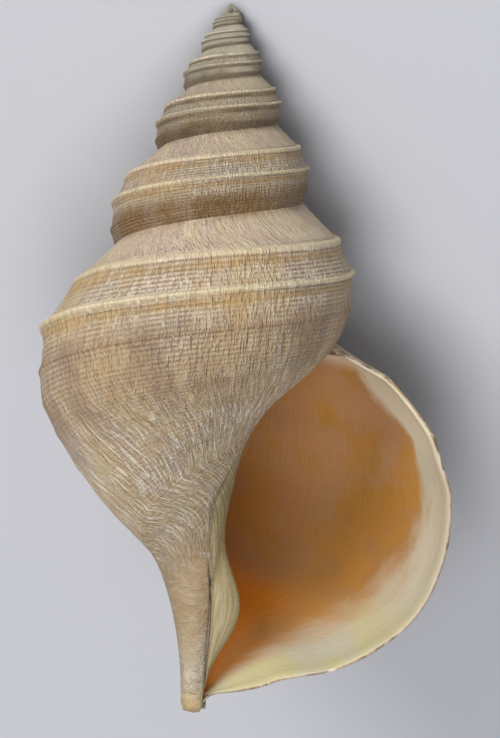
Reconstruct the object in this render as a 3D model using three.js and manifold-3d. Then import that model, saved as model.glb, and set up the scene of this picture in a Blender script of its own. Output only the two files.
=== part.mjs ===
// A whelk shell, empty, lying on its back with the aperture up and the apex along +Y.
// It is one piece: whorls that grow by a constant factor each turn round one axis, with two
// keels and a cord, a flared lip, a canal, and the hollow that the animal lived in.
// Millimetres. In the shell's own frame the axis is Z, the apex is up, and the lip is at +X.
import * as THREE from "three";
import { mergeVertices } from "three/addons/utils/BufferGeometryUtils.js";
import Module from "manifold-3d";

const { degToRad, smoothstep, lerp } = THREE.MathUtils;
const TURN = 2 * Math.PI;

// Growth. Angle t is 0 at the lip and negative earlier; sizes below are those at the lip.
const GROWTH_PER_TURN = 1.59;
const TURNS = 6;
const SPIRE_TURNS = TURNS - 1;
const APEX_RISE = 1.2; // the blunt, worn end above the first whorl

// The whorl's outline in a half-plane through the axis: radius, and depth below the point
// that the whorls grow from. Control points of one spline, from the suture to the canal.
const KEEL_1 = 2;
const KEEL_2 = 4;
const CORD = 6;
const COVER = 7; // the next whorl covers what lies below this point
const BASE_END = 12; // the canal starts here, and the last point only gives its direction
const OUTLINE = [
  [23.65, 60.4],
  [29.2, 66.0],
  [34.7, 71.0],
  [36.7, 75.8],
  [39.0, 80.3],
  [38.9, 85.0],
  [39.3, 90.0],
  [38.8, 96.0],
  [36.9, 101.3],
  [33.3, 107.6],
  [28.4, 113.7],
  [22.3, 119.6],
  [14.0, 125.8],
  [10.2, 130.9],
];

// How the outline departs from that shape: the base is slimmer under the aperture's inner
// edge, the shoulder and base flatten on the last whorl, and the lip flares outwards.
const SLIM_FROM = 7;
const SLIM = [[-1.2, 0], [-1.7, -0.3], [-2.1, -1.8], [-2.7, -2.9], [-3.4, -2.8], [-0.7, -1.5], [-0.9, 1.1]];
const SHOULDER_SINK = [[0, 0], [-0.4, -0.2], [-2.1, -1.3], [-0.9, -0.6]];
const BASE_SINK_FROM = 8;
const BASE_SINK = [[-0.5, -0.2], [-0.8, -0.5], [-0.8, -0.6], [-0.6, -0.5], [-0.6, -0.3], [-0.3, 0]];
const FLARE = [0, 0, 0, 1.6, 2.2, 4.2, 5.5, 6.4, 8.1, 9.1, 8.1, 5.5, 0.9, 0.2];
const SUTURE_DROP = 1.15; // how far down the last whorl the lip joins it, in control points

// Ridges that run along the whorls: place on the outline, height, half-width there.
const RIDGES = [
  { at: KEEL_1, height: 0.9, width: 0.16 },
  { at: KEEL_2, height: 1.15, width: 0.17 },
  { at: CORD, height: 0.45, width: 0.15 },
];

// The canal and the fold of the inner lip beside it.
const AXIS_RADIUS = 0.55;
const CANAL_RADIUS = 2.46;
const CANAL_BACK_BULGE = 1.5;
const CANAL_END = 131.9;
const LIP_END_RISE = 2.4;
const LIP_END_SPAN = degToRad(100);
const LIP_END_LEAD = [3.4, 1.4]; // how the lip's end slants down to the tip
const FOLD_DEPTH = 113.2;
const FOLD_LENGTH = 9.13;
const FOLD_HEIGHT = 5.66;

// The hollow.
const WALL = 1.5;
const LIP_WALL = 0.8;
const CALLUS = 0.35;
const CALLUS_LIFT = 0.35; // clears the last whorl in front of the aperture
const HOLLOW_TURNS = 2.2;
const HOLLOW_PAST_LIP = degToRad(6);
const CANAL_BACK_DEPTH = 8.2;
const NOTCH = 1.6;

// How finely the surfaces are faceted.
const STEPS = 30; // a turn
const BEFORE_COVER = [0, 1, 1.75, 2, 2.25, 3, 3.72, 4, 4.28, 5, 5.75, 6, 6.25, 6.62, 7];
const STRETCH_FROM = 6.25; // stations after this one follow the suture where it drops
const AFTER_COVER = [8.7, 9.3, 9.85, 10.4, 10.9, 11.45, 12];
const NECK_STEPS = 7;
const HOLLOW_OUTER_POINTS = 15;
const HOLLOW_INNER_POINTS = 13;
const FINE = 60; // points along a curve before it is cut to length

// How it lies: turned about its own axis, and the apex dipping towards the surface.
const LIE_ROLL = degToRad(10.86);
const LIE_DIP = degToRad(26.76);

const scaleAt = (t) => GROWTH_PER_TURN ** (t / TURN);
const vec = (r, d) => new THREE.Vector2(r, d);

function rampBetween(from, to, t) {
  return smoothstep(t, from, to);
}

// Offsets for control points `from` onwards, or none where the list has ended.
function offsetAt(list, from, i) {
  const [r, d] = list[i - from] ?? [0, 0];
  return vec(r, d);
}

// Unit normals of a line of points, to the outside of the shell.
function normalsOf(points) {
  return points.map((p, i) => {
    const before = points[Math.max(i - 1, 0)];
    const after = points[Math.min(i + 1, points.length - 1)];
    const along = after.clone().sub(before).normalize();
    return vec(along.y, -along.x);
  });
}

function slimOutline(t) {
  return OUTLINE.map(([r, d], i) =>
    vec(r, d).add(offsetAt(SLIM, SLIM_FROM, i)).multiplyScalar(scaleAt(t)),
  );
}

// The spline's control points at t, with everything that changes over the last turn.
function controlPoints(t) {
  const slim = 1 - rampBetween(-1.667 * Math.PI, -0.75 * Math.PI, t);
  const sink = rampBetween(-1.9 * Math.PI, -Math.PI, t);
  let points = OUTLINE.map(([r, d], i) =>
    vec(r, d)
      .addScaledVector(offsetAt(SLIM, SLIM_FROM, i), slim)
      .addScaledVector(offsetAt(SHOULDER_SINK, 0, i), sink)
      .addScaledVector(offsetAt(BASE_SINK, BASE_SINK_FROM, i), sink)
      .multiplyScalar(scaleAt(t)),
  );
  const flare =
    0.5 * rampBetween(-degToRad(130), 0, t) + 0.5 * rampBetween(-degToRad(38), 0, t) ** 1.5;
  const normals = normalsOf(points);
  points = points.map((p, i) => p.addScaledVector(normals[i], FLARE[i] * flare));
  const drop = dropAt(t);
  if (drop > 0) {
    points[0] = pointOn(slimOutline(t - TURN), COVER + SUTURE_DROP * drop);
    points[1].add(vec(-0.6, 1.5).multiplyScalar(drop));
  }
  return points;
}

// How far the suture has left its place on the last whorl, from 0 to 1 at the lip.
function dropAt(t) {
  return rampBetween(-degToRad(80), 0, t);
}

function pointOn(points, station) {
  return new THREE.SplineCurve(points).getPoint(station / (points.length - 1));
}

// From the base's end down to the tip, with the fold of the inner lip where t is a turn back.
function neckPoints(t, steps) {
  if (t < -TURN) return neckPoints(-TURN, steps).map((p) => p.multiplyScalar(scaleAt(t + TURN)));
  const base = controlPoints(t);
  const start = base[BASE_END];
  const heading = base[BASE_END + 1].clone().sub(base[BASE_END - 1]).normalize();
  const opened = rampBetween(0, degToRad(60), t + TURN);
  const bulge = t > -Math.PI ? CANAL_BACK_BULGE * Math.max(0, Math.sin(-t)) ** 2 : 0;
  const radius = lerp(AXIS_RADIUS, CANAL_RADIUS, opened) + bulge;
  const end = vec(radius, CANAL_END - LIP_END_RISE * rampBetween(-LIP_END_SPAN, 0, t));
  const reach = end.distanceTo(start);
  const handle = reach * (0.15 + 0.15 * rampBetween(-Math.PI, 0, t));
  const led = rampBetween(-degToRad(70), 0, t);
  const rise = lerp(0.45 * reach, LIP_END_LEAD[1], led);
  const curve = new THREE.CubicBezierCurve(
    start,
    start.clone().addScaledVector(heading, handle),
    vec(radius + LIP_END_LEAD[0] * led, end.y - rise),
    end,
  );
  const fold = FOLD_HEIGHT * (1 - rampBetween(degToRad(8), degToRad(50), t + TURN));
  return curve.getPoints(steps).map((p) => {
    p.x += fold * Math.exp(-(((p.y - FOLD_DEPTH) / FOLD_LENGTH) ** 2));
    return p;
  });
}

// The outline at t, at the given stations of the spline and then down the neck.
function outlineAt(t, stations, neckSteps, ridged) {
  const control = controlPoints(t);
  const points = stations.map((s) => pointOn(control, s));
  if (ridged) {
    const normals = normalsOf(points);
    const size = scaleAt(t) ** 0.75 * (1 - 0.75 * rampBetween(-degToRad(30), 0, t));
    const sunk = 1 - 0.45 * rampBetween(-1.9 * Math.PI, -Math.PI, t);
    for (const ridge of RIDGES) {
      const height = ridge.height * size * (ridge.at === KEEL_1 ? sunk : 1);
      points.forEach((p, i) => {
        const away = Math.abs((stations[i] - ridge.at) / ridge.width);
        p.addScaledVector(normals[i], height * Math.exp(-(away ** 1.6)));
      });
    }
  }
  return neckSteps ? [...points, ...neckPoints(t, neckSteps).slice(1)] : points;
}

function place(point, t) {
  return new THREE.Vector3(point.x * Math.cos(t), -point.x * Math.sin(t), -point.y);
}

// A triangle list that grows, with shared vertices.
class Surface {
  vertices = [];
  triangles = [];

  add(point) {
    return this.vertices.push(point) - 1;
  }

  triangle(a, b, c) {
    if (a !== b && b !== c && c !== a) this.triangles.push(a, b, c);
  }

  quad(a, b, c, d) {
    this.triangle(a, b, c);
    this.triangle(a, c, d);
  }

  geometry() {
    const positions = this.vertices.flatMap((v) => v.toArray());
    return new THREE.BufferGeometry()
      .setAttribute("position", new THREE.Float32BufferAttribute(positions, 3))
      .setIndex(this.triangles);
  }
}

function lengthShares(points) {
  const shares = [0];
  for (let i = 1; i < points.length; i++) {
    shares.push(shares[i - 1] + points[i].distanceTo(points[i - 1]));
  }
  return shares.map((s) => s / shares.at(-1));
}

// Stations from the suture down to where the next whorl covers this one.
function visibleStations(t) {
  const stretch = 1 + (SUTURE_DROP * dropAt(t + TURN)) / (COVER - STRETCH_FROM);
  return BEFORE_COVER.map((s) =>
    s > STRETCH_FROM ? STRETCH_FROM + (s - STRETCH_FROM) * stretch : s,
  );
}

// Everything inside the outer surface, as one closed solid. Each whorl's top edge is the
// line on the whorl before it where that one disappears.
function outerSolid() {
  const solid = new Surface();
  const spireRows = SPIRE_TURNS * STEPS;
  const lastRow = TURNS * STEPS;
  const cover = BEFORE_COVER.length - 1;
  const rows = [];
  for (let j = 0; j <= lastRow; j++) {
    const t = ((j - lastRow) * TURN) / STEPS;
    const strip = visibleStations(t);
    const outline =
      j < spireRows
        ? outlineAt(t, strip, 0, true)
        : outlineAt(t, [...strip, ...AFTER_COVER], NECK_STEPS, true);
    rows.push(
      outline.map((p, i) => {
        if (i === 0 && j >= STEPS) return rows[j - STEPS][cover];
        if (i === outline.length - 1 && j === lastRow) return rows[spireRows].at(-1);
        return solid.add(place(p, t));
      }),
    );
  }
  for (let j = 0; j < lastRow; j++) {
    const [near, next] = [rows[j], rows[j + 1]];
    for (let i = 0; i < Math.min(near.length, next.length) - 1; i++) {
      solid.quad(near[i], next[i], next[i + 1], near[i + 1]);
    }
  }
  closeLip(solid, rows[lastRow], rows[spireRows].slice(cover));
  const tip = solid.add(new THREE.Vector3(0, 0, -CANAL_END - 0.3));
  for (let j = spireRows; j < lastRow; j++) {
    const following = j + 1 < lastRow ? j + 1 : spireRows;
    solid.triangle(rows[j].at(-1), rows[following].at(-1), tip);
  }
  closeApex(solid, rows, cover);
  return solid;
}

// The flat of the aperture, between the lip and the last whorl's surface one turn before.
function closeLip(solid, lip, inner) {
  const shareOf = (ids) => lengthShares(ids.map((id) => solid.vertices[id]));
  const lipShare = shareOf(lip);
  const innerShare = shareOf(inner);
  let i = 0;
  let j = 0;
  while (i < lip.length - 1 || j < inner.length - 1) {
    const lipNext = i < lip.length - 1 && lipShare[i + 1] <= (innerShare[j + 1] ?? 2);
    if (lipNext) {
      solid.triangle(lip[i], inner[j], lip[i + 1]);
      i += 1;
    } else {
      solid.triangle(lip[i], inner[j], inner[j + 1]);
      j += 1;
    }
  }
}

// The worn end of the spire.
function closeApex(solid, rows, cover) {
  const highest = solid.vertices[rows[0][0]].z + APEX_RISE;
  const apex = solid.add(new THREE.Vector3(0, 0, highest));
  for (let j = 0; j < STEPS; j++) solid.triangle(rows[j + 1][0], rows[j][0], apex);
  for (let i = 0; i < cover; i++) solid.triangle(rows[0][i], rows[0][i + 1], apex);
}

// Ends a line of points at a depth, or leads it straight down to that depth.
function cutAtDepth(points, depth) {
  const past = points.findIndex((p) => p.y > depth);
  if (past < 0) return [...points, vec(points.at(-1).x, depth)];
  const before = points[past - 1];
  const share = (depth - before.y) / (points[past].y - before.y);
  return [...points.slice(0, past), before.clone().lerp(points[past], share)];
}

// `count` points evenly along a line of points, from `skip` millimetres after its start.
function evenPoints(points, count, skip) {
  const reached = [0];
  for (let i = 1; i < points.length; i++) {
    reached.push(reached[i - 1] + points[i].distanceTo(points[i - 1]));
  }
  return Array.from({ length: count }, (_, n) => {
    const wanted = lerp(skip, reached.at(-1), n / (count - 1));
    const i = Math.max(1, reached.findIndex((r) => r >= wanted - 1e-9));
    const share = (wanted - reached[i - 1]) / (reached[i] - reached[i - 1]);
    return points[i - 1].clone().lerp(points[i], share);
  });
}

function hollowDepth(t) {
  const depth = CANAL_END * scaleAt(t);
  if (t < -Math.PI) return depth;
  const back = CANAL_BACK_DEPTH * Math.sin(-Math.min(t, 0));
  return depth + back + NOTCH * rampBetween(-degToRad(50), -degToRad(15), t);
}

function stationsFrom(start) {
  return Array.from({ length: FINE + 1 }, (_, i) => lerp(start, BASE_END, i / FINE));
}

// The hollow's outline at t: down the inside of the wall, and back up the whorl before it.
function hollowRing(t) {
  const inside = Math.min(t, 0);
  const scale = scaleAt(inside);
  const wall = lerp(WALL * scale, LIP_WALL, rampBetween(-degToRad(25), 0, inside));
  const callus = CALLUS * scale + CALLUS_LIFT * rampBetween(0, HOLLOW_PAST_LIP, t);
  const depth = hollowDepth(t);
  const grown = outlineAt(inside, stationsFrom(0), FINE, false);
  const outerNormals = normalsOf(grown);
  const outer = grown.map((p, i) => p.addScaledVector(outerNormals[i], -wall));
  const joined = COVER + SUTURE_DROP * dropAt(inside);
  const covered = outlineAt(t - TURN, stationsFrom(joined), FINE, false);
  const innerNormals = normalsOf(covered);
  const inner = covered.map((p, i) => p.addScaledVector(innerNormals[i], callus));
  const down = evenPoints(cutAtDepth(outer, depth), HOLLOW_OUTER_POINTS, wall);
  const up = evenPoints(cutAtDepth(inner, depth), HOLLOW_INNER_POINTS, 1.4 * wall);
  const corner = down[0].clone().lerp(up[0], 0.5);
  return [corner, ...down.slice(1), ...up.slice(1).reverse()];
}

function hollowAngles() {
  const angles = [];
  for (let j = -HOLLOW_TURNS * 15; j < -15; j++) angles.push((j * TURN) / 15);
  for (let j = -24; j <= 0; j++) angles.push((j * TURN) / 24);
  return [...angles, HOLLOW_PAST_LIP];
}

// The space inside the shell, from the aperture up into the spire, as one closed solid.
function hollowSolid() {
  const solid = new Surface();
  const rings = hollowAngles().map((t) =>
    hollowRing(t).map((point) => solid.add(place(point, t))),
  );
  for (let j = 0; j < rings.length - 1; j++) {
    const [near, next] = [rings[j], rings[j + 1]];
    near.forEach((id, i) => {
      const k = (i + 1) % near.length;
      solid.quad(id, next[i], next[k], near[k]);
    });
  }
  for (const [ring, turned] of [[rings[0], false], [rings.at(-1), true]]) {
    const middle = new THREE.Vector3();
    for (const id of ring) middle.addScaledVector(solid.vertices[id], 1 / ring.length);
    const centre = solid.add(middle);
    ring.forEach((id, i) => {
      const following = ring[(i + 1) % ring.length];
      if (turned) solid.triangle(following, id, centre);
      else solid.triangle(id, following, centre);
    });
  }
  return solid;
}

const wasm = await Module();
wasm.setup();

function toManifold(geometry) {
  const merged = mergeVertices(geometry, 1e-4);
  return new wasm.Manifold(
    new wasm.Mesh({
      numProp: 3,
      vertProperties: merged.getAttribute("position").array,
      triVerts: new Uint32Array(merged.index.array),
    }),
  );
}

function toGeometry(manifold) {
  const mesh = manifold.getMesh();
  const geometry = new THREE.BufferGeometry()
    .setAttribute("position", new THREE.BufferAttribute(mesh.vertProperties, 3))
    .setIndex(new THREE.BufferAttribute(mesh.triVerts, 1));
  geometry.computeVertexNormals();
  return geometry;
}

function whelkShell() {
  const solid = toManifold(outerSolid().geometry());
  const hollow = toManifold(hollowSolid().geometry());
  const chalk = new THREE.MeshStandardMaterial({ color: 0xcdb892, roughness: 0.7, metalness: 0 });
  const mesh = new THREE.Mesh(toGeometry(solid.subtract(hollow)), chalk);
  mesh.name = "whelk_shell";
  mesh.rotation.set(-(Math.PI / 2 + LIE_DIP), 0, LIE_ROLL);
  return mesh;
}

// Stands a group's lowest point on Z = 0 and centres it in X and Y.
function settle(group) {
  const box = new THREE.Box3().setFromObject(group, true);
  const centre = box.getCenter(new THREE.Vector3());
  group.position.set(-centre.x, -centre.y, -box.min.z);
}

const part = new THREE.Group();
part.add(whelkShell());
const root = new THREE.Group();
root.add(part);
settle(part);

export default root;
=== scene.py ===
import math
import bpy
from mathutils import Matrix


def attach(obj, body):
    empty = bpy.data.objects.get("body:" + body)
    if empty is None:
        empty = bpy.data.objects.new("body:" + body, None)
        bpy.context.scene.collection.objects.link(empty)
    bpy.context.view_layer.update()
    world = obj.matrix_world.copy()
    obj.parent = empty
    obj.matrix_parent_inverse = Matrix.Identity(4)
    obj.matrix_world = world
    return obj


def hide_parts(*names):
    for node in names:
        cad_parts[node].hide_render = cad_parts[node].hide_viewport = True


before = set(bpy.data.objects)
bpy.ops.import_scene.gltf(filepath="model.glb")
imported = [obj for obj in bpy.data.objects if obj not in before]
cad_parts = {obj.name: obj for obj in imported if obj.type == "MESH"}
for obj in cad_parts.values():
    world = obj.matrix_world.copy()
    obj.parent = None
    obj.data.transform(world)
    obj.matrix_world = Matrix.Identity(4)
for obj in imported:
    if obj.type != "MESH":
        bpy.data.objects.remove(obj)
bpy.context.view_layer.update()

# A whelk shell lying aperture up on a pale floor, with the growth relief, colours and wear
# of its surface. It is built in the shell's own frame, in millimetres, where the axis is Z,
# the apex is up and the lip is at +X, and is then laid where the CAD shell lies.
from types import SimpleNamespace

import bpy
import numpy as np
from mathutils import Matrix, Vector

TURN = 2 * np.pi
MM = 0.001

# Growth. Angle t is 0 at the lip and negative earlier; sizes are those at the lip.
GROWTH_PER_TURN = 1.59
TURNS = 6
APEX_RISE = 1.2

# Outline in a half-plane through the axis: radius, and depth below the virtual apex. A station
# is a place on it, counted in these points.
COVER = 7  # the next whorl covers it from here down
BASE_END = 12
OUTLINE = np.array([
    (23.65, 60.4), (29.2, 66.0), (34.7, 71.0), (36.7, 75.8), (39.0, 80.3), (38.9, 85.0),
    (39.3, 90.0), (38.8, 96.0), (36.9, 101.3), (33.3, 107.6), (28.4, 113.7), (22.3, 119.6),
    (14.0, 125.8), (10.2, 130.9),
])

# How the earlier whorls are slimmer, how the last whorl sinks, and how far the lip flares.
STILL = [(0, 0)]
SLIM = np.array(STILL * 7 + [
    (-1.2, 0), (-1.7, -0.3), (-2.1, -1.8), (-2.7, -2.9), (-3.4, -2.8), (-0.7, -1.5), (-0.9, 1.1),
])
SINK = np.array([(0, 0), (-0.4, -0.2), (-2.1, -1.3), (-0.9, -0.6)] + STILL * 4 + [
    (-0.5, -0.2), (-0.8, -0.5), (-0.8, -0.6), (-0.6, -0.5), (-0.6, -0.3), (-0.3, 0),
])
FLARE = np.array([0, 0, 0, 1.6, 2.2, 4.2, 5.5, 6.4, 8.1, 9.1, 8.1, 5.5, 0.9, 0.2])
SLIM_SPAN = (-1.667 * np.pi, -0.75 * np.pi)
SINK_SPAN = (-1.9 * np.pi, -np.pi)
FLARE_SPAN = (-math.radians(130), 0)
LATE_FLARE_SPAN = (-math.radians(38), 0)
LATE_FLARE_POWER = 1.5

# How the suture drops behind the lip, in stations, and how the shoulder follows it.
SUTURE_DROP = 1.15
DROP_SPAN = (-math.radians(80), 0)
SHOULDER_DROP = (-0.6, 1.5)

# Ridges along the whorls: place on the outline, height, half-width there.
KEEL_1 = (2, 0.9, 0.16)
RIDGES = [
    KEEL_1, (4, 1.15, 0.17), (6, 0.45, 0.12), (3.1, 0.2, 0.12), (5.1, 0.25, 0.12),
    (0.9, 0.12, 0.14), (1.45, 0.1, 0.1), (7.2, 0.22, 0.14), (8.3, 0.22, 0.14), (9.3, 0.18, 0.14),
    (10.3, 0.15, 0.14),
]
RIDGE_SHARPNESS = 1.6
KEEL_1_FADE = 0.45
RIDGE_WEAR = 0.25  # share by which a ridge's height wanders along it
RIDGE_BEADING = 0.22  # and from one growth line to the next
SPIRE_GAIN = 0.35  # how much bolder ridges are on the early whorls
SPIRE_GAIN_SPAN = (-1.5 * TURN, -3 * TURN)
SWELLING, SLOW_SWELLING = 0.16, 0.1  # mm between growth lines
LIP_FADE = 0.75  # share of the relief that is lost at the lip
LIP_FADE_SPAN = (-math.radians(30), 0)

# How growth lines lag behind the suture: radians, and the stations over which it builds up.
LEAN = [(0.2, 0, 2.2), (0.2, 8, 12), (1.1, 11.8, 13)]

# The neck around the canal, down to its tip.
AXIS_RADIUS = 0.55
CANAL_RADIUS = 2.46
CANAL_BACK_BULGE = 1.5
CANAL_OPENS_OVER = math.radians(60)
CANAL_END = 131.9
TIP_ROUNDING = 0.3
NECK_BEND = 0.15  # share of the neck's length
NECK_STRAIGHT = 0.45
LIP_END_RISE = 2.4
LIP_END_SPAN = math.radians(100)
LIP_END_LEAD = (3.4, 1.4)
LIP_END_LEAD_SPAN = (-math.radians(70), 0)
END_ROUNDING, END_INSET, END_LIFT = 1.6, 0.5, 0.35

# The fold of the inner lip, and the glaze beside it: its depths, and its width in degrees there.
FOLD_DEPTH, FOLD_LENGTH, FOLD_HEIGHT = 113.2, 9.13, 5.66
FOLD_SPAN = (math.radians(8), math.radians(50))
GLAZE_DEPTHS = (80, 88, 94, 101, 108, 112, 121, 128)
GLAZE_WIDTHS = (30, 60, 84, 82, 58, 48, 42, 45)
GLAZE_HEIGHT = 0.5
GLAZE_SHOWN = (78, 92, 125, 130)
CHINK_SHOWN, CHINK_DEPTH, CHINK_WIDTH = (92, 98, 122, 125), 0.12, math.radians(3)
HOLE_SHOWN, HOLE_DEPTH = (104, 107, 110, 112), 1.0

# The hollow.
WALL, LIP_WALL, CALLUS = 1.5, 0.8, 0.35
LIP_WALL_SPAN = (-math.radians(25), 0)
HOLLOW_TURNS = 2.2
HOLLOW_CORNER = 2.1  # mm below the suture, where the hollow meets the last whorl
CANAL_BACK_DEPTH, CANAL_LIP_DEPTH, CANAL_FLOOR = 8.2, 1.6, 0.5
CANAL_LIP_SPAN = (-math.radians(50), -math.radians(15))
LIP_ROUNDING = 0.3

# How finely it is meshed. The outline's points stand closer together on the keels.
ROWS = 180  # a turn
FIRST_WHOLE, LAST = (TURNS - 1) * ROWS, TURNS * ROWS
NECK_STEPS = 52
NECK_SHARES = np.arange(1, NECK_STEPS + 1) / NECK_STEPS
NECK_STATIONS = BASE_END + 2 * NECK_SHARES
OUTER_WALL_POINTS = 66
HOLLOW_ROWS = 2  # the hollow takes each such row
STRETCH_FROM = 6.25
STRIP = np.concatenate([
    np.linspace(0, 1.6, 8)[:-1], np.linspace(1.6, 2.4, 9)[:-1], np.linspace(2.4, 3.6, 7)[:-1],
    np.linspace(3.6, 4.4, 9)[:-1], np.linspace(4.4, 5.7, 8)[:-1], np.linspace(5.7, 6.25, 6)[:-1],
    np.linspace(6.25, 7, 5),
])
LAST_SHOWN = len(STRIP) - 1
BASE = np.linspace(COVER, BASE_END, 27)[1:]

# How it lies.
LIE_ROLL = math.radians(10.86)
LIE_DIP = math.radians(26.76)


def smooth(start, end, x):
    x = np.clip((x - start) / (end - start), 0, 1)
    return x * x * (3 - 2 * x)


def plateau(x, rise_from, rise_to, fall_from, fall_to):
    """1 on a stretch of x, easing to 0 at both its ends."""
    return smooth(rise_from, rise_to, x) * (1 - smooth(fall_from, fall_to, x))


def scale_at(t):
    return GROWTH_PER_TURN ** (t / TURN)


def spline(points, at):
    """Points on the uniform Catmull-Rom spline through points, at the given stations."""
    last = len(points) - 1
    at = np.clip(np.asarray(at, float), 0, last)
    i = np.minimum(at.astype(int), last - 1)
    w = (at - i)[..., None]
    before, start = points[np.maximum(i - 1, 0)], points[i]
    end, after = points[i + 1], points[np.minimum(i + 2, last)]
    leave, arrive = (end - before) / 2, (after - start) / 2
    cubic = 2 * start - 2 * end + leave + arrive
    square = -3 * start + 3 * end - 2 * leave - arrive
    return ((cubic * w + square) * w + leave) * w + start


def normals_of(points):
    along = np.gradient(points, axis=0)
    along /= np.linalg.norm(along, axis=1)[:, None] + 1e-12
    return np.stack([along[:, 1], -along[:, 0]], 1)


def scatter(whole, seed):
    """A value from 0 to 1 for each whole number, without order but always the same."""
    return np.modf(np.abs(np.sin(whole * 127.1 + seed * 311.7) * 43758.5))[0]


def wander(x, seed, octaves=3):
    """A smooth value between about -1 and 1 that wanders with x, one swing per unit."""
    x = np.asarray(x, float)
    total = np.zeros_like(x)
    for octave in range(octaves):
        y = x * 2 ** octave + 17.3 * octave + 5.7 * seed
        whole = np.floor(y)
        start, end = scatter(whole, seed), scatter(whole + 1, seed)
        total += (start + (end - start) * smooth(0, 1, y - whole) - 0.5) * 2 * 0.55 ** octave
    return total / 1.4


def drop_at(t):
    return smooth(*DROP_SPAN, t)


def control_points(t):
    """The outline's points at t."""
    slim = 1 - smooth(*SLIM_SPAN, t)
    sink = smooth(*SINK_SPAN, t)
    points = (OUTLINE + SINK * sink + SLIM * slim) * scale_at(t)
    flare = 0.5 * smooth(*FLARE_SPAN, t) + 0.5 * smooth(*LATE_FLARE_SPAN, t) ** LATE_FLARE_POWER
    points = points + normals_of(points) * (FLARE * flare)[:, None]
    drop = drop_at(t)
    if drop > 0:
        points[0] = spline((OUTLINE + SLIM) * scale_at(t - TURN), COVER + SUTURE_DROP * drop)
        points[1] += np.multiply(SHOULDER_DROP, drop)
    return points


def neck_points(t, steps):
    """From the base's end down to the tip."""
    if t < -TURN:
        return neck_points(-TURN, steps) * scale_at(t + TURN)
    base = control_points(t)
    start = base[BASE_END]
    heading = base[BASE_END + 1] - base[BASE_END - 1]
    heading /= np.linalg.norm(heading)
    opened = smooth(0, CANAL_OPENS_OVER, t + TURN)
    bulge = CANAL_BACK_BULGE * max(0, math.sin(-t)) ** 2 if t > -np.pi else 0
    radius = AXIS_RADIUS + (CANAL_RADIUS - AXIS_RADIUS) * opened + bulge
    end = np.array([radius, CANAL_END - LIP_END_RISE * smooth(-LIP_END_SPAN, 0, t)])
    reach = np.linalg.norm(end - start)
    bend = start + heading * reach * NECK_BEND * (1 + smooth(-np.pi, 0, t))
    led = smooth(*LIP_END_LEAD_SPAN, t)
    rise = NECK_STRAIGHT * reach * (1 - led) + LIP_END_LEAD[1] * led
    straight = np.array([radius + LIP_END_LEAD[0] * led, end[1] - rise])
    w = np.linspace(0, 1, steps + 1)[:, None]
    points = (1 - w) ** 3 * start + 3 * (1 - w) ** 2 * w * bend
    points += 3 * (1 - w) * w * w * straight + w ** 3 * end
    fold = FOLD_HEIGHT * (1 - smooth(*FOLD_SPAN, t + TURN))
    points[:, 0] += fold * np.exp(-(((points[:, 1] - FOLD_DEPTH) / FOLD_LENGTH) ** 2))
    return points


def lean(station):
    """How far growth lines lag, in radians, below the suture."""
    return sum(lag * smooth(start, end, station) for lag, start, end in LEAN)


def relief(t, stations):
    """Height of the ridges and growth swellings above the plain surface."""
    height = np.zeros(len(stations))
    for ridge in RIDGES:
        at, rise, width = ridge
        if ridge is KEEL_1:
            rise *= 1 - KEEL_1_FADE * smooth(*SINK_SPAN, t)
        worn = 1 + RIDGE_WEAR * wander(t * 2.3 + at, at, 2)
        height += rise * worn * np.exp(-np.abs((stations - at) / width) ** RIDGE_SHARPNESS)
    growth = t + lean(stations)
    height *= 1 + RIDGE_BEADING * wander(growth * 9, 3, 2)
    height *= 1 + SPIRE_GAIN * smooth(*SPIRE_GAIN_SPAN, t)
    base = 0.35 + 0.65 * smooth(6, 9, stations)
    height += SWELLING * base * wander(growth * 7, 1, 3) + SLOW_SWELLING * wander(growth * 2.2, 2, 2)
    return height * scale_at(t) ** 0.75 * (1 - LIP_FADE * smooth(*LIP_FADE_SPAN, t))


def outline_at(t, stations, neck_steps, carved=True):
    stations = np.asarray(stations, float)
    points = spline(control_points(t), stations)
    if carved:
        points = points + normals_of(points) * relief(t, stations)[:, None]
    if neck_steps:
        points = np.vstack([points, neck_points(t, neck_steps)[1:]])
    return points


def place(points, t):
    """From radius and depth at t to the shell's frame."""
    t = np.asarray(t, float)
    r, d = points[..., 0], points[..., 1]
    return np.stack([r * np.cos(t), -r * np.sin(t), -d + 0 * t], -1)


def reach_of(points):
    """How far along a line each of its points is."""
    steps = np.linalg.norm(np.diff(points, axis=0), axis=1)
    return np.r_[0, np.cumsum(steps)]


def evenly(points, count, skip=0.0):
    reached = reach_of(points)
    wanted = np.linspace(skip, reached[-1], count)
    return np.stack([np.interp(wanted, reached, points[:, a]) for a in range(points.shape[1])], 1)


def cut_at_depth(points, depth):
    past = np.where(points[:, 1] > depth)[0]
    if len(past) == 0:
        return np.vstack([points, [points[-1, 0], depth]])
    i = past[0]
    share = (depth - points[i - 1, 1]) / (points[i, 1] - points[i - 1, 1])
    return np.vstack([points[:i], points[i - 1] + (points[i] - points[i - 1]) * share])


# Marks are values that a face's corners carry for the material: growth is the angle along the
# growth lines, across is the way from the suture in mm at the lip's size, station is the place
# on the outline, turn is the whorl, inside is 1 in the hollow, edge is mm from the lip, glaze is
# 1 on the glaze beside the aperture, and depth is mm below the virtual apex.
MARKS = ["growth", "across", "station", "turn", "inside", "edge", "glaze", "depth"]


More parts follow.
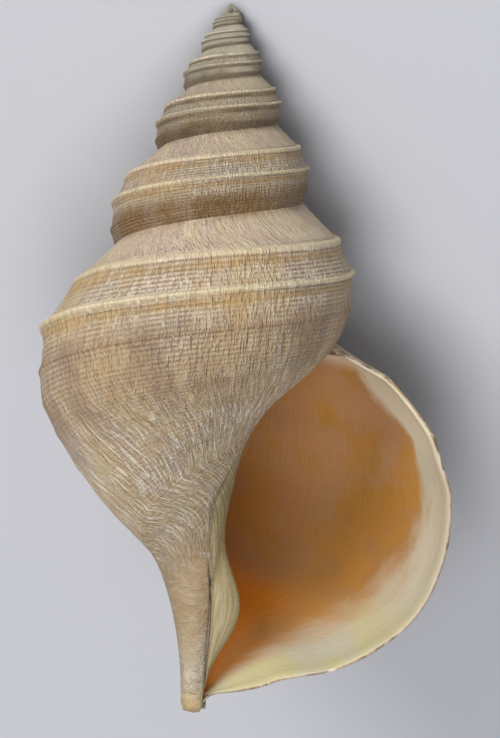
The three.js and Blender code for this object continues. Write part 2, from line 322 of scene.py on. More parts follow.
class Skin:
    """Vertices, faces and the marks of each face's corners."""

    def __init__(self):
        self.points, self.faces, self.marks = [], [], []

    def add(self, points):
        first = len(self.points)
        self.points.extend(np.atleast_2d(points))
        return np.arange(first, len(self.points))

    def face(self, corners, marks):
        kept = [i for i, c in enumerate(corners) if c not in corners[:i]]
        if len(kept) > 2:
            self.faces.append([int(corners[i]) for i in kept])
            self.marks.extend(marks[i] for i in kept)

    def strip(self, near, far, near_marks, far_marks):
        for i in range(min(len(near), len(far)) - 1):
            self.face(
                [near[i], far[i], far[i + 1], near[i + 1]],
                [near_marks[i], far_marks[i], far_marks[i + 1], near_marks[i + 1]],
            )

    def zip(self, near, far, near_marks, far_marks):
        """Fills between two lines of different numbers of points that share both ends."""
        near_share = reach_of(np.array([self.points[i] for i in near]))
        far_share = reach_of(np.array([self.points[i] for i in far]))
        near_share, far_share = near_share / near_share[-1], far_share / far_share[-1]
        i = j = 0
        while i < len(near) - 1 or j < len(far) - 1:
            step = i < len(near) - 1 and (j == len(far) - 1 or near_share[i + 1] <= far_share[j + 1])
            if step:
                self.face([near[i], far[j], near[i + 1]], [near_marks[i], far_marks[j], near_marks[i + 1]])
                i += 1
            else:
                self.face([near[i], far[j], far[j + 1]], [near_marks[i], far_marks[j], far_marks[j + 1]])
                j += 1


def visible_stations(t):
    """Down to where the next whorl covers this one."""
    stretch = 1 + SUTURE_DROP * drop_at(t + TURN) / (COVER - STRETCH_FROM)
    return np.where(STRIP > STRETCH_FROM, STRETCH_FROM + (STRIP - STRETCH_FROM) * stretch, STRIP)


def base_stations(t):
    """From where the next whorl covers this one, down to the base's end."""
    start = visible_stations(t)[-1]
    return start + (BASE - COVER) * (BASE_END - start) / (BASE_END - COVER)


def callus_rise(t, points):
    """The glaze beside the aperture, raised above the last whorl, with a chink behind it."""
    past = t + TURN
    depth = points[:, 1]
    shown = plateau(depth, *GLAZE_SHOWN)
    width = np.radians(np.interp(depth, GLAZE_DEPTHS, GLAZE_WIDTHS))
    rise = GLAZE_HEIGHT * shown * (1 - smooth(0.75 * width, width, past))
    chink = CHINK_DEPTH + HOLE_DEPTH * plateau(depth, *HOLE_SHOWN)
    chink *= plateau(depth, *CHINK_SHOWN)
    groove = np.exp(-(((past - width * 1.02) / CHINK_WIDTH) ** 2))
    glaze = shown * (1 - smooth(0.85 * width, 1.02 * width, past))
    return rise - chink * groove, glaze


def round_end(points, t):
    """Takes the corner off the canal's end."""
    ended = 1 - smooth(0, END_ROUNDING, points[-1, 1] - points[:, 1])
    points[:, 0] -= END_INSET * ended
    points[:, 1] -= END_LIFT * ended * (1 + wander(3 * math.sin(t), 4, 2))
    return points


def lip_sway(t, stations):
    """How far the lip's edge runs ahead or behind, as an angle."""
    ahead = 0.35 * wander(stations * 1.3, 8) + 0.2 * wander(stations * 4, 9)
    return ahead / 40 * smooth(-0.12, 0, t)


PLAIN_STATIONS = np.linspace(0, BASE_END, 241)
PLAIN_REACH = reach_of(spline(OUTLINE, PLAIN_STATIONS))


def marks_of(t, stations, points, inside=0.0, edge=99.0, glaze=0.0):
    across = np.interp(stations, PLAIN_STATIONS, PLAIN_REACH)
    neck = stations > BASE_END
    if neck.any() and not inside:
        start = np.argmax(neck) - 1
        across[start:] += reach_of(points[start:])
    marks = {
        "growth": t + lean(stations), "across": across, "station": stations, "turn": t / TURN,
        "inside": inside, "edge": edge, "glaze": glaze, "depth": points[:, 1],
    }
    return np.stack([np.broadcast_to(marks[name], len(points)) for name in MARKS], 1)


def outer_line(t, whole):
    """The outer surface at t: its points, stations and glaze. A whole line reaches the tip."""
    stations = visible_stations(t)
    if not whole:
        return outline_at(t, stations, 0), stations, 0.0
    stations = np.r_[stations, base_stations(t)]
    points = outline_at(t, stations, NECK_STEPS)
    rise, glaze = callus_rise(t, points)
    points = round_end(points + normals_of(points) * rise[:, None], t)
    return points, np.r_[stations, NECK_STATIONS], glaze


def build_outside(skin):
    """All rows of the outer surface, as vertex numbers and marks."""
    rows, marks = [], []
    for j in range(LAST + 1):
        t = (j - LAST) * TURN / ROWS
        points, stations, glaze = outer_line(t, j >= FIRST_WHOLE)
        ids = np.empty(len(points), int)
        kept = slice(0, len(points))
        if j >= ROWS:
            ids[0] = rows[j - ROWS][LAST_SHOWN]
            kept = slice(1, len(points))
        if j == LAST:
            ids[-1] = rows[FIRST_WHOLE][-1]
            kept = slice(1, len(points) - 1)
        ids[kept] = skin.add(place(points, t + lip_sway(t, stations))[kept])
        rows.append(ids)
        marks.append(marks_of(t, stations, points, edge=-t * points[:, 0], glaze=glaze))
    for near, far, near_marks, far_marks in zip(rows, rows[1:], marks, marks[1:]):
        skin.strip(near, far, near_marks, far_marks)
    close_ends(skin, rows, marks)
    return rows, marks


def close_ends(skin, rows, marks):
    """Fans over the canal's tip and the apex, and the first row's wall."""
    tip = skin.add([0, 0, -CANAL_END - TIP_ROUNDING])[0]
    for j in range(FIRST_WHOLE, LAST):
        k = j + 1 if j + 1 < LAST else FIRST_WHOLE
        skin.face([rows[j][-1], rows[k][-1], tip], [marks[j][-1], marks[k][-1], marks[j][-1]])
    apex = skin.add([0, 0, skin.points[rows[0][0]][2] + APEX_RISE])[0]
    for j in range(ROWS):
        skin.face([rows[j + 1][0], rows[j][0], apex], [marks[j + 1][0], marks[j][0], marks[j][0]])
    for i in range(LAST_SHOWN):
        skin.face([rows[0][i], rows[0][i + 1], apex], [marks[0][i], marks[0][i + 1], marks[0][i]])


def hollow_depth(t):
    """How deep the hollow reaches at t."""
    depth = CANAL_END * scale_at(t)
    if t > -np.pi:
        depth += CANAL_BACK_DEPTH * math.sin(-t) + CANAL_LIP_DEPTH * smooth(*CANAL_LIP_SPAN, t)
    return min(depth, CANAL_END - CANAL_FLOOR)


def hollow_outer(t):
    """The inside of the wall at t, from the top corner down."""
    scale = scale_at(t)
    wall = WALL * scale + (LIP_WALL - WALL) * smooth(*LIP_WALL_SPAN, t)
    grown = outline_at(t, np.linspace(0, BASE_END, 97), 60, carved=False)
    grown = grown - normals_of(grown) * wall
    return evenly(cut_at_depth(grown, hollow_depth(t)), OUTER_WALL_POINTS, wall)


def hollow_inner(t, stations, corner, outer):
    """The earlier whorl that the hollow lies against at t, with a thin callus on it."""
    covered = outline_at(t - TURN, stations, NECK_STEPS, carved=False)
    rise = CALLUS * scale_at(t) * smooth(0, math.radians(12), -t)
    inner = covered + normals_of(covered) * rise
    inner[len(stations):, 1] += (hollow_depth(t) - CANAL_END * scale_at(t)) * NECK_SHARES ** 3
    inner = inner[corner:]
    share = smooth(0, math.radians(10), -t)
    inner[0] = inner[0] * (1 - share / 2) + outer[0] * share / 2
    return inner


def build_hollow(skin, rows, marks):
    front = rows[FIRST_WHOLE][LAST_SHOWN:]
    front_marks = marks[FIRST_WHOLE][LAST_SHOWN:].copy()
    front_points = np.array([skin.points[i] for i in front])
    corner = int(np.searchsorted(reach_of(front_points), HOLLOW_CORNER))
    stations = np.r_[visible_stations(-TURN)[-1], base_stations(-TURN)]
    rings, ring_marks = [], []
    for step in range(int(HOLLOW_TURNS * ROWS / HOLLOW_ROWS) + 1):
        t = -step * HOLLOW_ROWS * TURN / ROWS
        outer = hollow_outer(t)
        inner = hollow_inner(t, stations, corner, outer)
        edge = -t * 30.0  # mm a radian, near enough
        outer_marks = marks_of(t, np.linspace(0, 14, OUTER_WALL_POINTS), outer, 1.0, edge)
        inner_marks = marks_of(t, np.r_[stations, NECK_STATIONS][corner:], inner, 1.0, edge + 40, 1.0)
        outer_marks[0] = inner_marks[0]
        if step == 0:
            inner_ids = front[corner:]
            outer_ids = np.r_[front[corner], skin.add(place(outer[1:-1], t)), front[-1]]
        else:
            inner_ids = skin.add(place(inner, t))
            outer_ids = np.r_[inner_ids[0], skin.add(place(outer[1:], t))]
        rings.append(np.r_[outer_ids, inner_ids[::-1]])
        ring_marks.append(np.vstack([outer_marks, inner_marks[::-1]]))
    for near, far, near_marks, far_marks in zip(rings, rings[1:], ring_marks, ring_marks[1:]):
        skin.strip(near, far, near_marks, far_marks)
    deep = skin.add(np.mean([skin.points[i] for i in rings[-1]], axis=0))[0]
    for i in range(len(rings[-1]) - 1):
        here, following = ring_marks[-1][i], ring_marks[-1][i + 1]
        skin.face([rings[-1][i], deep, rings[-1][i + 1]], [here, here, following])
    close_lip(skin, rows[LAST], marks[LAST], rings[0], ring_marks[0], front, front_marks, corner)


def close_lip(skin, lip, lip_marks, ring, ring_marks, front, front_marks, corner):
    """The lip's thin rounded edge, between its outer line and the hollow's first ring."""
    inner = np.r_[front[:corner], ring[:OUTER_WALL_POINTS]]
    inner_marks = np.vstack([front_marks[:corner], ring_marks[:OUTER_WALL_POINTS]])
    inner_points = np.array([skin.points[i] for i in inner])
    lip_points = np.array([skin.points[i] for i in lip])
    lip_share, inner_share = [reach_of(p) / reach_of(p)[-1] for p in (lip_points, inner_points)]
    facing = np.stack([np.interp(lip_share, inner_share, inner_points[:, a]) for a in range(3)], 1)
    middle = (lip_points + facing) / 2
    room = np.linalg.norm(lip_points - facing, axis=1)
    middle[:, 1] -= np.minimum(LIP_ROUNDING, room * LIP_ROUNDING)
    middle_ids = np.r_[lip[0], skin.add(middle[1:-1]), lip[-1]]
    lip_marks = lip_marks.copy()
    lip_marks[:, MARKS.index("edge")] = 0
    skin.strip(lip, middle_ids, lip_marks, lip_marks)
    middle_marks = lip_marks.copy()
    middle_marks[:, MARKS.index("inside")] = 0.5
    skin.zip(middle_ids, inner, middle_marks, inner_marks)


def lying_transform(node):
    """The matrix from the shell's frame in millimetres to where the CAD shell lies."""
    turn = Matrix.Rotation(-(math.pi / 2 + LIE_DIP), 3, "X") @ Matrix.Rotation(LIE_ROLL, 3, "Z")
    down = turn @ Vector((0, 0, -1))
    tip = max((v.co for v in node.data.vertices), key=lambda co: co.dot(down))
    offset = tip - turn @ Vector((0, 0, -(CANAL_END + TIP_ROUNDING) * MM))
    return Matrix.Translation(offset) @ turn.to_4x4() @ Matrix.Scale(MM, 4)


def build_shell(lie):
    skin = Skin()
    rows, marks = build_outside(skin)
    build_hollow(skin, rows, marks)
    mesh = bpy.data.meshes.new("whelk_shell_visual")
    turned = np.array(skin.points) @ np.array(lie.to_3x3()).T + np.array(lie.translation)
    mesh.from_pydata(turned.tolist(), [], skin.faces)
    corners = np.array(skin.marks)
    for i, name in enumerate(MARKS):
        layer = mesh.attributes.new(name, "FLOAT", "CORNER")
        layer.data.foreach_set("value", corners[:, i].astype(np.float32))
    mesh.shade_smooth()
    mesh.validate()
    shell = bpy.data.objects.new("whelk_shell_visual", mesh)
    bpy.context.scene.collection.objects.link(shell)
    return shell


# Colours as a screen shows them, 0 to 255.
SHADES = {
    "cream": (196, 177, 142),
    "chalk": (240, 232, 216),
    "tan": (182, 152, 110),
    "pale tan": (192, 170, 142),
    "ochre": (174, 140, 86),
    "dark ochre": (156, 116, 62),
    "stain and shade brown": (132, 98, 62),
    "pink": (186, 160, 142),
    "warm brown": (152, 126, 98),
    "grey pink": (172, 154, 142),
    "shaded canal brown": (128, 106, 78),
    "shaded canal grey": (142, 131, 114),
    "stain": (136, 104, 62),
    "grime_and_shade": (104, 82, 56),
    "keel crest": (210, 196, 160),
    "worn white": (236, 228, 204),
    "pock": (104, 88, 64),
    "tip yellow": (176, 150, 104),
    "dark glaze": (134, 116, 78),
    "light glaze": (158, 144, 108),
    "chink_shade": (44, 32, 22),
    "chip": (120, 102, 76),
    "peach": (186, 134, 66),
    "mauve": (180, 134, 88),
    "pale mauve": (178, 140, 104),
    "inner ochre": (174, 130, 62),
    "inner shade brown": (142, 102, 60),
    "deep brown": (156, 98, 42),
    "rust": (174, 122, 52),
    "golden": (182, 132, 72),
    "orange": (222, 132, 22),
    "lip white and painted light": (220, 210, 186),
    "lip cream": (186, 177, 154),
    "lip yellow": (190, 182, 138),
    "lip grey": (186, 180, 158),
    "floor": (180, 181, 187),
}


def colour(name):
    """A named shade as the linear colour that a shader takes."""
    parts = [c / 255 for c in SHADES[name]]
    return [p / 12.92 if p < 0.04045 else ((p + 0.055) / 1.055) ** 2.4 for p in parts] + [1.0]


class Nodes:
    """Short ways to add the nodes that the materials use."""

    def __init__(self, name):
        self.material = bpy.data.materials.new(name)
        self.material.use_nodes = True
        self.tree = self.material.node_tree
        self.shader = self.tree.nodes["Principled BSDF"]

    def put(self, value, socket):
        if isinstance(value, bpy.types.NodeSocket):
            self.tree.links.new(value, socket)
        else:
            socket.default_value = value

    def add(self, kind, inputs=None, **settings):
        node = self.tree.nodes.new(kind)
        for key, value in settings.items():
            setattr(node, key, value)
        for key, value in (inputs or {}).items():
            self.put(value, node.inputs[key])
        return node

    def mark(self, name):
        return self.add("ShaderNodeAttribute", attribute_name=name).outputs["Fac"]

    def math(self, operation, a, b=0.0, c=0.0):
        return self.add("ShaderNodeMath", {0: a, 1: b, 2: c}, operation=operation).outputs[0]

    def times(self, first, *others):
        for other in others:
            first = self.math("MULTIPLY", first, other)
        return first

    def plus(self, first, *others):
        for other in others:
            first = self.math("ADD", first, other)
        return first

    def minus(self, a, b):
        return self.math("SUBTRACT", a, b)

    def over(self, a, b):
        return self.math("DIVIDE", a, b)

    def most(self, a, b):
        return self.math("MAXIMUM", a, b)

    def vector(self, x, y, z=0.0):
        return self.add("ShaderNodeCombineXYZ", {0: x, 1: y, 2: z}).outputs[0]

    def noise(self, where, scale, detail=2.0, roughness=0.5):
        return self.add(
            "ShaderNodeTexNoise",
            {"Vector": where, "Scale": scale, "Detail": detail, "Roughness": roughness},
        ).outputs["Fac"]

    def ease(self, value, start, end, low=0.0, high=1.0):
        """From low to high as value goes from start to end."""
        inputs = {"Value": value, "From Min": start, "From Max": end, "To Min": low, "To Max": high}
        return self.add("ShaderNodeMapRange", inputs, interpolation_type="SMOOTHSTEP").outputs["Result"]

    def peak(self, value, at, width):
        """1 where value is at, falling to 0 at width away."""
        return self.ease(self.math("ABSOLUTE", self.minus(value, at)), 0.0, width, 1.0, 0.0)

    def blend(self, share, under, over):
        """A share of one colour over another, each a socket or the name of a shade."""
        node = self.add("ShaderNodeMix", data_type="RGBA")
        self.put(share, node.inputs[0])
        for value, socket in ((under, node.inputs[6]), (over, node.inputs[7])):
            self.put(colour(value) if isinstance(value, str) else value, socket)
        return node.outputs[2]


THREAD_STEP, THREAD_WOBBLE = 1.22, 0.5  # mm at the lip's size
KEEL_RADIUS = 39.0
KEEL_CRESTS = (1.95, 3.95)  # stations
NECK_LEVEL = (12.7, 13.1)  # stations where growth lines turn level


def woven(n, s, along_size, across_size, detail=3.0, roughness=0.6):
    """Noise with cells of the given sizes in mm, upright on the whorls and level on the neck."""
    upright = n.vector(n.over(s.along, along_size), n.over(s.across, across_size))
    level = n.vector(n.over(s.depth, along_size), n.over(s.along, 6 * across_size), 5.0)
    on_whorls = n.noise(upright, 1.0, detail, roughness)
    on_neck = n.noise(level, 1.0, detail, roughness)
    return n.plus(on_whorls, n.times(s.neck, n.minus(on_neck, on_whorls)))


def surface_values(n):
    """The marks, and the noises and lines that follow the growth lines and the threads."""
    s = SimpleNamespace(**{name: n.mark(name) for name in MARKS})
    s.where = n.add("ShaderNodeTexCoord").outputs["Object"]
    s.neck = n.ease(s.station, *NECK_LEVEL)
    s.off_neck = n.ease(s.neck, 0.0, 1.0, 1.0, 0.0)
    s.along = n.times(s.growth, KEEL_RADIUS)
    s.streak = woven(n, s, 2.6, 14.0, 4.0)
    s.column = woven(n, s, 11.0, 30.0, 3.0, 0.55)
    s.wrinkle = woven(n, s, 1.3, 7.0, 3.0, 0.65)
    s.fine = woven(n, s, 0.7, 1.8, 2.0, 0.65)
    s.rib = n.peak(woven(n, s, 2.6, 12.0, 2.0, 0.65), 0.5, 0.055)
    s.spiral = n.noise(n.vector(n.times(s.growth, 1.6), n.times(s.across, 0.9)), 1.0, 3.0, 0.6)
    s.bow = n.noise(n.vector(n.times(s.growth, 9.0), n.times(s.across, 0.12), 3.0), 1.0, 4.0, 0.6)
    s.blotch = n.noise(s.where, 48.0, 3.0, 0.55)
    s.cloud = n.noise(s.where, 75.0, 3.0, 0.55)
    s.patch = n.noise(s.where, 150.0, 5.0, 0.65)
    s.grain = n.noise(s.where, 1100.0, 3.0, 0.6)
    s.thread = threads(n, s)
    s.threaded = n.times(
        n.ease(s.station, 1.8, 2.3), n.ease(s.station, 6.8, 9.6, 1.0, 0.25),
        n.ease(s.blotch, 0.38, 0.6, 0.35, 1.0),
    )
    return s


def threads(n, s):
    """1 on each spiral thread and 0 between two."""
    wobble = n.times(n.noise(s.where, 60.0, 1.0), THREAD_WOBBLE)
    wave = n.math("SINE", n.times(n.plus(s.across, wobble), 2 * math.pi / THREAD_STEP))
    return n.math("POWER", n.math("MULTIPLY_ADD", wave, 0.5, 0.5), 0.7)


def on_crests(n, s, widths):
    """1 along the crests of the two keels."""
    return n.most(*(n.peak(s.station, at, width) for at, width in zip(KEEL_CRESTS, widths)))


def ground_colour(n, s):
    """Tan and cream streaks, pink and yellow columns, and ochre lines below the keels."""
    tan = n.blend(n.ease(s.station, 1.6, 2.2), "pale tan", "tan")
    tone = n.blend(n.ease(s.streak, 0.32, 0.68), tan, "cream")
    pinkish = n.times(n.ease(s.column, 0.48, 0.56), n.ease(s.blotch, 0.35, 0.6, 0.3, 1.0), 0.75)
    tone = n.blend(pinkish, tone, "pink")
    yellowish = n.times(n.ease(s.column, 0.4, 0.46, 1.0, 0.0), n.peak(s.station, 5.5, 3.5), 0.55)
    tone = n.blend(yellowish, tone, "ochre")
    below_keels = n.most(n.peak(s.station, 2.55, 0.6), n.peak(s.station, 4.55, 0.6))
    tone = n.blend(n.times(below_keels, n.ease(s.spiral, 0.3, 0.6, 0.5, 1.0)), tone, "ochre")
    tone = n.blend(n.peak(s.station, 6.05, 0.2), tone, "dark ochre")
    # Darker brown along the suture: partly a stain, partly painted shade in its crease.
    suture = n.times(n.ease(s.station, 0.0, 0.5, 0.8, 0.0), n.ease(s.patch, 0.35, 0.6))
    return n.blend(suture, tone, "stain and shade brown")


def add_ribs(n, s, tone):
    """Chalk on the threads, ribs and wrinkles, and painted shade in the pits between them."""
    plain_bands = n.most(n.peak(s.station, 2.45, 0.45), n.peak(s.station, 4.5, 0.5))
    ridged = n.times(s.threaded, s.off_neck, n.ease(plain_bands, 0.2, 0.8, 1.0, 0.25))
    # Painted shade in the pits between the threads and ribs.
    pits = n.times(n.minus(1.0, s.thread), n.minus(1.0, s.rib), ridged)
    tone = n.blend(n.times(pits, n.ease(s.spiral, 0.35, 0.6, 0.9, 0.4)), tone, "stain and shade brown")
    raised = n.most(s.rib, n.times(s.thread, 0.6))
    raised = n.times(raised, n.ease(s.blotch, 0.35, 0.6, 0.2, 0.55), n.ease(ridged, 0.0, 1.0, 0.3, 1.0))
    tone = n.blend(raised, tone, "chalk")
    wrinkled = n.times(n.ease(s.wrinkle, 0.48, 0.64), n.ease(s.blotch, 0.35, 0.6, 0.3, 0.95))
    tone = n.blend(n.times(wrinkled, n.ease(s.station, 6.5, 10.5, 0.25, 1.0)), tone, "chalk")
    return n.blend(n.ease(s.fine, 0.3, 0.45, 0.5, 0.0), tone, "tan")


def add_body_patches(n, s, tone):
    """Warm and grey patches on the whorls' lower half, and the browner canal, darkened with painted shade.
    """
    warm = n.times(n.ease(s.station, 4.6, 6.0), n.ease(s.station, 8.0, 10.5, 1.0, 0.0))
    tone = n.blend(n.times(warm, n.ease(s.column, 0.42, 0.58, 0.4, 0.85)), tone, "warm brown")
    greyed = n.times(n.ease(s.station, 5.4, 7.0), n.ease(s.station, 9.0, 12.0, 1.0, 0.0))
    tone = n.blend(n.times(greyed, n.ease(s.blotch, 0.5, 0.62, 0.0, 0.5)), tone, "grey pink")
    # Painted shade on the upright neck over its own brown and grey, darkest at the top.
    canal = n.blend(n.ease(s.depth, 114.0, 124.0), "shaded canal brown", "shaded canal grey")
    tone = n.blend(n.ease(s.station, 12.2, 13.1, 0.0, 0.72), tone, canal)
    tip = n.ease(n.plus(n.times(s.patch, 3.0), s.depth), 128.4, 132.4, 0.0, 0.7)
    return n.blend(tip, tone, "tip yellow")


def add_spire_wear(n, s, tone):
    """Stains and grime low on the spire's whorls, the grime with painted shade under the keels, pale keels,
    and the worn apex.
    """
    stain = n.times(n.ease(s.station, 4.7, 5.9), n.ease(s.turn, -1.2, -1.0, 1.0, 0.0))
    tone = n.blend(n.times(stain, n.ease(s.column, 0.42, 0.58, 0.95, 0.4)), tone, "stain")
    # Grime on the upper spire, with painted shade under the keels and low on each whorl.
    sheltered = n.most(n.peak(s.station, 2.5, 0.5), n.peak(s.station, 4.6, 0.7))
    sheltered = n.most(sheltered, n.ease(s.station, 5.6, 6.6, 0.0, 0.8))
    grime_and_shade = n.times(sheltered, n.ease(s.turn, -2.5, -2.1, 1.0, 0.0), n.ease(s.patch, 0.35, 0.6, 0.35, 0.85))
    tone = n.blend(grime_and_shade, tone, "grime_and_shade")
    crests = n.times(on_crests(n, s, (0.26, 0.28)), n.ease(s.fine, 0.35, 0.6, 0.5, 0.95))
    tone = n.blend(crests, tone, "keel crest")
    worn = n.times(n.ease(s.turn, -4.8, -2.0, 0.95, 0.0), n.ease(s.patch, 0.35, 0.6, 0.4, 1.0))
    tone = n.blend(n.times(worn, n.ease(grime_and_shade, 0.0, 0.7, 1.0, 0.3)), tone, "worn white")
    pocks = n.times(n.ease(s.turn, -4.6, -3.2, 1.0, 0.0), n.ease(s.patch, 0.37, 0.43, 0.8, 0.0))
    return n.blend(pocks, tone, "pock")


def add_glaze(n, s, tone):
    """The glaze beside the aperture, streaked lengthwise, and painted shade in the chink and hole behind
    it.
    """
    lengthwise = n.vector(n.times(s.growth, 22.0), n.times(s.depth, 0.12))
    streaks = n.ease(n.noise(lengthwise, 1.0, 4.0, 0.6), 0.35, 0.65)
    tone = n.blend(s.glaze, tone, n.blend(streaks, "dark glaze", "light glaze"))
    # Painted shade, near black, in the chink behind the glaze and in the hole low in it.
    gaping = n.times(n.ease(s.depth, 109.5, 111.0), n.ease(s.patch, 0.4, 0.5, 0.5, 1.0))
    gaping = n.most(gaping, n.peak(s.depth, 108.3, 1.6))
    chink_shade = n.times(n.ease(s.depth, 88.0, 96.0), n.ease(s.depth, 125.0, 127.0, 1.0, 0.0))
    chink_shade = n.times(chink_shade, n.ease(gaping, 0.0, 1.0, 0.25, 0.95), n.peak(s.glaze, 0.35, 0.3))
    return n.blend(chink_shade, tone, "chink_shade")


def outside_colour(n, s):
    tone = ground_colour(n, s)
    for add_layer in (add_ribs, add_body_patches, add_spire_wear, add_glaze):
        tone = add_layer(n, s, tone)
    return tone


def inside_colour(n, s):
    """Clouds and bows of peach, mauve and ochre, browner far in, painted shade lower down near the lip, and
    orange near the canal.
    """
    tone = n.blend(n.ease(s.cloud, 0.4, 0.6), "peach", "mauve")
    bows = n.times(n.ease(s.bow, 0.5, 0.62), n.ease(s.cloud, 0.4, 0.6, 0.7, 0.2))
    tone = n.blend(bows, tone, "inner ochre")
    by_the_lip = n.times(n.ease(s.edge, 6.0, 10.0), n.ease(s.edge, 16.0, 26.0, 1.0, 0.0))
    tone = n.blend(n.times(by_the_lip, n.ease(s.bow, 0.52, 0.7), 0.8), tone, "inner ochre")
    tone = n.blend(n.ease(s.edge, 22.0, 62.0, 0.0, 0.85), tone, "deep brown")
    # Painted shade: browner from the middle of the hollow down, within about 18 to 30 mm of the lip.
    shaded = n.times(n.ease(s.station, 3.5, 7.0), n.ease(s.edge, 30.0, 18.0), 0.65)
    tone = n.blend(shaded, tone, "inner shade brown")
    near = n.times(n.ease(s.edge, 7.0, 11.0), n.ease(s.edge, 20.0, 32.0, 1.0, 0.0))
    tone = n.blend(n.times(near, n.ease(s.cloud, 0.48, 0.62, 0.0, 0.45)), tone, "pale mauve")
    tone = n.blend(n.times(near, n.ease(s.cloud, 0.36, 0.48, 0.5, 0.0)), tone, "rust")
    golden = n.times(n.ease(s.station, 8.0, 9.8), n.ease(s.edge, 36.0, 20.0, 0.0, 0.8))
    tone = n.blend(golden, tone, "golden")
    by_callus = n.times(n.ease(s.station, 8.4, 10.0), n.ease(s.edge, 17.0, 31.0))
    in_canal = n.times(n.ease(s.station, 10.8, 11.6), n.ease(s.edge, 12.0, 16.0, 0.0, 0.3))
    low = n.times(n.most(by_callus, in_canal), n.ease(s.cloud, 0.3, 0.6, 0.8, 1.0))
    tone = n.blend(low, tone, "orange")
    tone = n.blend(lip_margin(n, s), tone, margin_colour(n, s))
    return n.blend(n.times(s.glaze, 0.4), tone, "orange")


def lip_margin(n, s):
    """How much of the lip's cream margin shows. It is widest low down and at the top corner."""
    reach = n.plus(n.ease(s.station, 6.0, 10.5, 7.5, 12.0), n.ease(s.station, 2.2, 4.0, 6.0, 0.5))
    reach = n.plus(reach, n.times(n.minus(s.bow, 0.5), 8.0))
    fades_from = n.ease(s.station, 4.0, 8.0, 0.8, 0.45)
    fades_to = n.ease(s.station, 4.0, 8.0, 1.15, 1.45)
    margin = n.ease(n.over(s.edge, reach), fades_from, fades_to, 1.0, 0.0)
    corner = n.times(n.ease(s.station, 0.8, 1.7, 1.0, 0.0), n.ease(s.edge, 28.0, 42.0, 1.0, 0.0))
    return n.most(margin, corner)


def margin_colour(n, s):
    # The margin's upper part is painted whiter: partly its own white, partly painted light where the key
    # light leaves it in shade.
    high = n.blend(n.ease(s.station, 2.6, 4.6), "lip white and painted light", "lip cream")
    low = n.blend(n.ease(s.cloud, 0.42, 0.56), "lip yellow", "lip grey")
    return n.blend(n.ease(s.station, 7.0, 10.0), high, low)


def fine_relief(n, s, shiny):
    """Height in mm of the threads, ribs, wrinkles and pits that are finer than the mesh."""
    crest = on_crests(n, s, (0.4, 0.4))
    level = n.times(s.thread, n.ease(s.spiral, 0.35, 0.62, 0.22, 0.44), s.threaded, s.off_neck)
    upright = n.times(s.rib, n.ease(s.blotch, 0.35, 0.6, 0.16, 0.32))
    wrinkles = n.times(s.wrinkle, n.ease(crest, 0.0, 0.7, 1.2, 0.35))
    height = n.times(n.plus(level, upright, wrinkles), n.ease(s.station, 0.8, 3.0, 0.4, 1.0))
    height = n.plus(height, n.times(s.fine, 0.45), n.times(s.streak, 0.55))
    height = n.times(height, n.ease(crest, 0.0, 0.7, 1.0, 0.7))
    worn = n.times(s.patch, n.ease(s.turn, -5.0, -3.4, 0.9, 0.0), 2.0)
    height = n.plus(height, n.times(s.grain, 0.07), worn)
    height = n.times(height, n.ease(shiny, 0.2, 0.9, 1.0, 0.05), n.ease(s.edge, 0.2, 2.0, 0.1, 1.0))
    return n.times(height, n.ease(s.station, 12.3, 12.9, 1.0, 0.5))


def shell_material():
    n = Nodes("shell")
    s = surface_values(n)
    tone = n.blend(n.ease(s.inside, 0.2, 0.8), outside_colour(n, s), inside_colour(n, s))
    chipped = n.times(n.ease(s.edge, 0.1, 0.5, 1.0, 0.0), n.ease(s.patch, 0.5, 0.58))
    tone = n.blend(n.times(chipped, n.ease(s.inside, 0.2, 0.5, 0.8, 0.0)), tone, "chip")
    shiny = n.most(s.inside, n.times(s.glaze, 0.6))
    rough = n.plus(n.ease(shiny, 0.0, 1.0, 0.74, 0.36), n.ease(s.patch, 0.3, 0.7, -0.06, 0.06))
    height = n.times(fine_relief(n, s, shiny), MM)
    bump = n.add("ShaderNodeBump", {"Height": height, "Strength": 1.0, "Distance": 1.0})
    n.put(tone, n.shader.inputs["Base Color"])
    n.put(rough, n.shader.inputs["Roughness"])
    n.put(bump.outputs[0], n.shader.inputs["Normal"])
    return n.material


def build_floor():
    n = Nodes("pale_floor")
    n.put(colour("floor"), n.shader.inputs["Base Color"])
    n.put(0.85, n.shader.inputs["Roughness"])
    bpy.ops.mesh.primitive_plane_add(size=6)
    floor = bpy.context.object
    floor.name = "floor"
    floor.data.materials.append(n.material)


# The camera stands where the photo's stood, seen from the shell.
PIXEL = 130 / 712  # mm at the shell's axis
PHOTO_SIZE = (500, 738)
CAMERA_DISTANCE = 900
CAMERA_PITCH = math.radians(-2)
CAMERA_TILT = math.radians(3)
SENSOR = 36
PIVOT = Vector((0, 0, -70))
PIVOT_IN_PHOTO = (211.6, 371.9)


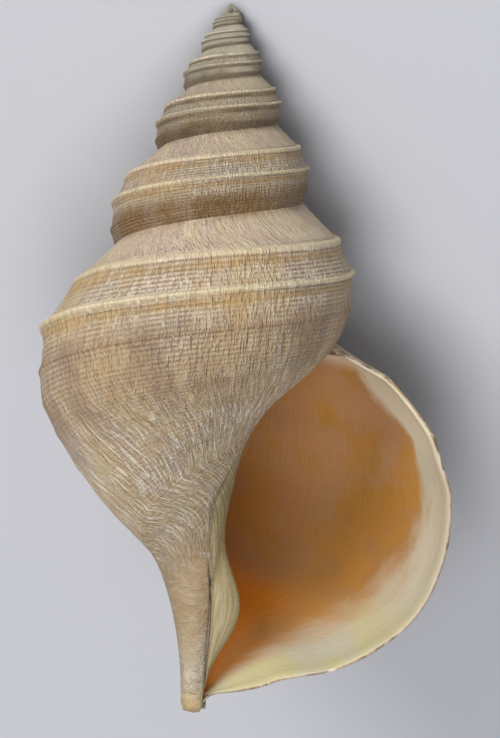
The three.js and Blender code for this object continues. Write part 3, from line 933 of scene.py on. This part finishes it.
def build_camera(lie):
    look = Vector((0, math.cos(CAMERA_PITCH), -math.sin(CAMERA_PITCH)))
    upright = Vector((0, math.sin(CAMERA_PITCH), math.cos(CAMERA_PITCH)))
    side = Vector((1, 0, 0))
    right = side * math.cos(CAMERA_TILT) + upright * math.sin(CAMERA_TILT)
    up = upright * math.cos(CAMERA_TILT) - side * math.sin(CAMERA_TILT)
    target = PIVOT + right * (PHOTO_SIZE[0] / 2 - PIVOT_IN_PHOTO[0]) * PIXEL
    target += up * (PIVOT_IN_PHOTO[1] - PHOTO_SIZE[1] / 2) * PIXEL
    spin = lie.to_3x3().normalized()
    data = bpy.data.cameras.new("camera")
    data.sensor_width = SENSOR
    data.lens = CAMERA_DISTANCE / PIXEL / PHOTO_SIZE[1] * SENSOR
    data.clip_start = 0.05
    camera = bpy.data.objects.new("camera", data)
    axes = Matrix([spin @ right, spin @ up, spin @ -look]).transposed()
    camera.matrix_world = Matrix.Translation(lie @ (target - look * CAMERA_DISTANCE)) @ axes.to_4x4()
    bpy.context.scene.collection.objects.link(camera)
    bpy.context.scene.camera = camera


# Soft lights: direction in the shell's frame, distance and size in metres, watts, tint.
WARM, WHITE = (1, 0.985, 0.96), (1, 1, 1)
LIGHTS = {
    "key": ((-0.56, -0.74, 0.4), 1.7, 0.8, 20.5, WARM),
    "top": ((-0.1, -0.5, 0.85), 1.9, 0.8, 4.5, WARM),
    "fill": ((-0.12, -0.91, -0.5), 1.6, 1.1, 17.0, WHITE),
}
LIT_POINT = Vector((0, 0, -75))
SKY, SKY_STRENGTH = (0.95, 0.97, 1, 1), 0.35


def area_light(name, direction, distance, size, power, tint, lie):
    """A soft square light that faces the shell."""
    data = bpy.data.lights.new(name, "AREA")
    data.energy, data.size, data.color = power, size, tint
    light = bpy.data.objects.new(name, data)
    way = (lie.to_3x3().normalized() @ Vector(direction)).normalized()
    light.location = lie @ LIT_POINT + way * distance
    light.rotation_euler = way.to_track_quat("Z", "Y").to_euler()
    bpy.context.scene.collection.objects.link(light)


def build_light(lie):
    for name, settings in LIGHTS.items():
        area_light(name, *settings, lie)
    world = bpy.data.worlds.new("studio")
    world.use_nodes = True
    background = world.node_tree.nodes["Background"]
    background.inputs["Color"].default_value = SKY
    background.inputs["Strength"].default_value = SKY_STRENGTH
    bpy.context.scene.world = world
    bpy.context.scene.view_settings.view_transform = "Standard"


lie = lying_transform(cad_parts["whelk_shell"])
shell = build_shell(lie)
shell.data.materials.append(shell_material())
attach(shell, "root")
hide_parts("whelk_shell")
build_floor()
build_camera(lie)
build_light(lie)
